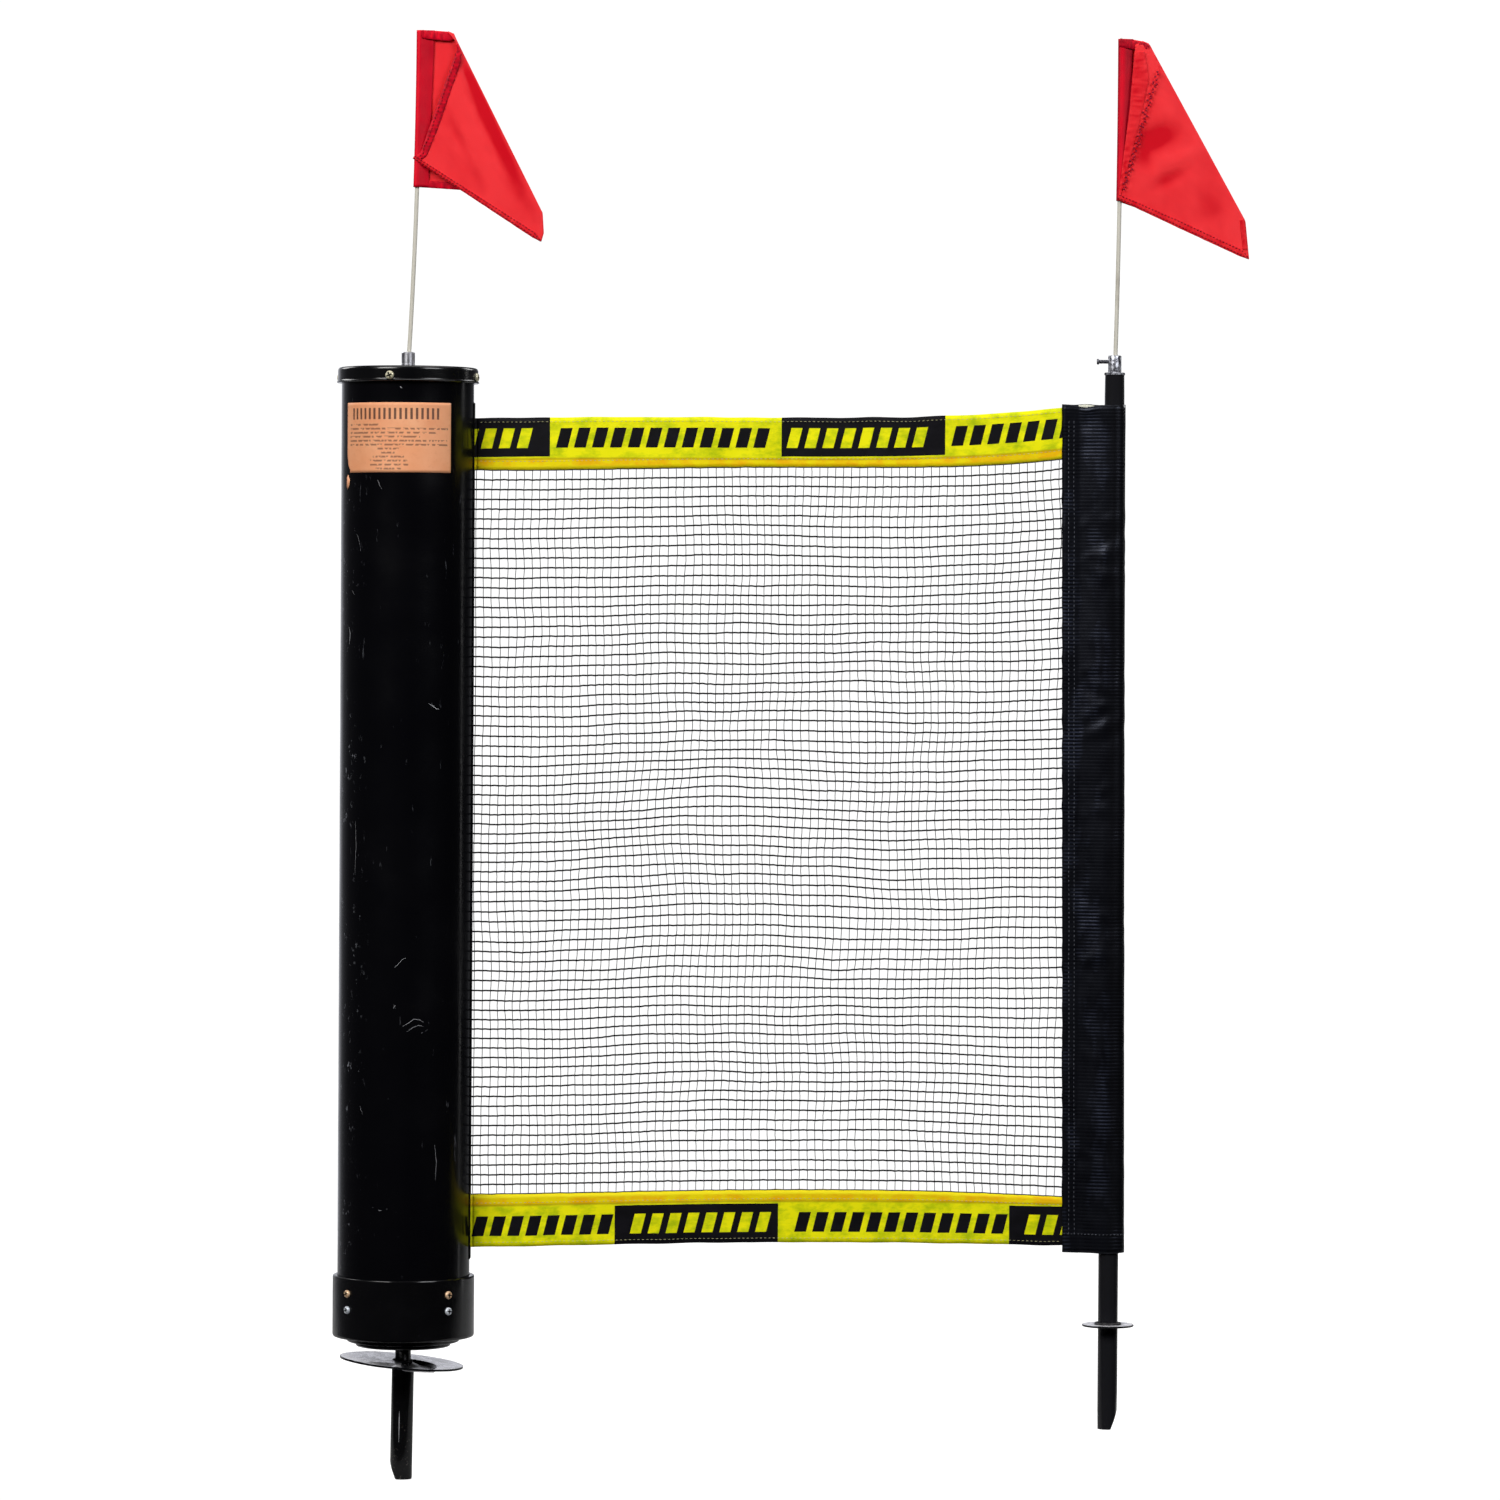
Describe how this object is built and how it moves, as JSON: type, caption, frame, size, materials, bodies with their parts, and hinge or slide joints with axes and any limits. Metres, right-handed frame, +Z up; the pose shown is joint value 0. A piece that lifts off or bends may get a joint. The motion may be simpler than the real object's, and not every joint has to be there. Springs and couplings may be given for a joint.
{
  "type": "retractable barrier net",
  "caption": "Black spring-roller canister on a ground stake, a fine net with yellow edge tapes pulled from its slot to a staked end post, and a red pennant on each.",
  "frame": {"origin": "on the canister's axis at the underside of its foot plate, the ground line of the left stake", "axes": "+Z up along the canister, +X from the canister along the net to the end post, +Y away from the sticker's side"},
  "size_m": [0.8741, 0.1374, 1.3902],
  "materials": {
    "black_tube": "gloss, scuffed",
    "black_moulding": "satin moulded",
    "black_paint": "satin paint, worn at the tip",
    "black_fabric": "coated ribbed cloth",
    "galvanised": "galvanised",
    "steel": "bright turned steel",
    "brass": "yellow passivated",
    "zinc": "zinc plated",
    "nylon": "natural nylon",
    "sticker": "matt vinyl sticker",
    "tape": "woven tape, fluorescent yellow",
    "net": "fine knotted netting",
    "white_rod": "pultruded glass fibre",
    "flag": "satin nylon"
  },
  "bodies": {
    "canister": {"canister_tube": "black_tube", "slot_lip_front": "black_moulding", "slot_lip_rear": "black_moulding", "top_cap": "black_moulding", "collar": "black_moulding", "end_plug": "black_moulding", "front_sticker": "sticker", "flag_ferrule": "steel", "ferrule_nut": "zinc", "top_bearing_plate": "black_moulding", "cap_screw_1": "brass", "cap_screw_2": "brass", "cap_screw_3": "brass", "cap_screw_4": "brass", "collar_screw_upper_1": "brass", "collar_screw_upper_2": "brass", "collar_screw_upper_3": "brass", "collar_screw_upper_4": "brass", "collar_screw_lower_1": "zinc", "collar_screw_lower_2": "zinc", "collar_screw_lower_3": "zinc", "collar_screw_lower_4": "zinc", "stake_neck": "black_paint", "foot_plate": "galvanised", "ground_stake": "black_paint", "arbor": "steel", "bottom_bush": "nylon", "top_bush": "nylon", "roller_spring": "steel", "spring_anchor": "zinc"},
    "spool": {"roller_tube": "galvanised", "roller_bottom_plug": "black_moulding", "roller_top_plug": "black_moulding", "net_roll": "net"},
    "net_panel": {"top_tape": "tape", "bottom_tape": "tape", "net_mesh": "net"},
    "net_end": {"pocket_sleeve": "black_fabric"},
    "end_post": {"post_tube": "black_paint", "post_foot_disc": "galvanised", "post_top_fitting": "steel"},
    "clamp_screw": {"thumb_screw": "steel"},
    "left_rod": {"left_flag_rod": "white_rod"},
    "left_pennant": {"left_flag": "flag"},
    "right_rod": {"right_flag_rod": "white_rod"},
    "right_pennant": {"right_flag": "flag"}
  },
  "joints": [
    {"name": "net_swing", "type": "hinge", "parent": "canister", "child": "net_panel", "pos_m": [0.066, 0, 0.51], "axis": [0, 0, 1], "range_deg": [-45, 45]},
    {"name": "net_pull", "type": "slide", "parent": "net_panel", "child": "net_end", "axis": [1, 0, 0], "range_m": [-0.53, 0.24], "deforming": ["net_mesh", "top_tape", "bottom_tape"]},
    {"name": "spool_turn", "type": "hinge", "parent": "canister", "child": "spool", "pos_m": [0, 0, 0.51], "axis": [0, 0, 1], "range_deg": [-724, 328]},
    {"name": "post_turn", "type": "hinge", "parent": "net_end", "child": "end_post", "pos_m": [0.6773, 0, 0.5], "axis": [0, 0, 1], "continuous": true},
    {"name": "clamp_screw_turn", "type": "hinge", "parent": "end_post", "child": "clamp_screw", "pos_m": [0.668, 0, 0.965], "axis": [-1, 0, 0], "continuous": true},
    {"name": "left_rod_lift", "type": "slide", "parent": "canister", "child": "left_rod", "axis": [0.0566, 0, 0.9984], "range_m": [0, 0.025]},
    {"name": "left_flag_turn", "type": "hinge", "parent": "left_rod", "child": "left_pennant", "pos_m": [0.0088, 0, 1.203], "axis": [0.0161, 0, 0.9999], "continuous": true},
    {"name": "right_rod_lift", "type": "slide", "parent": "end_post", "child": "right_rod", "axis": [0.0258, 0, 0.9997], "range_m": [0, 0.025]},
    {"name": "right_flag_turn", "type": "hinge", "parent": "right_rod", "child": "right_pennant", "pos_m": [0.6811, 0, 1.197], "axis": [0.005, 0, 1], "continuous": true}
  ],
  "couplings": [
    {"joint": "spool_turn", "follows": "net_pull", "rad_per_m": 23.809}
  ]
}
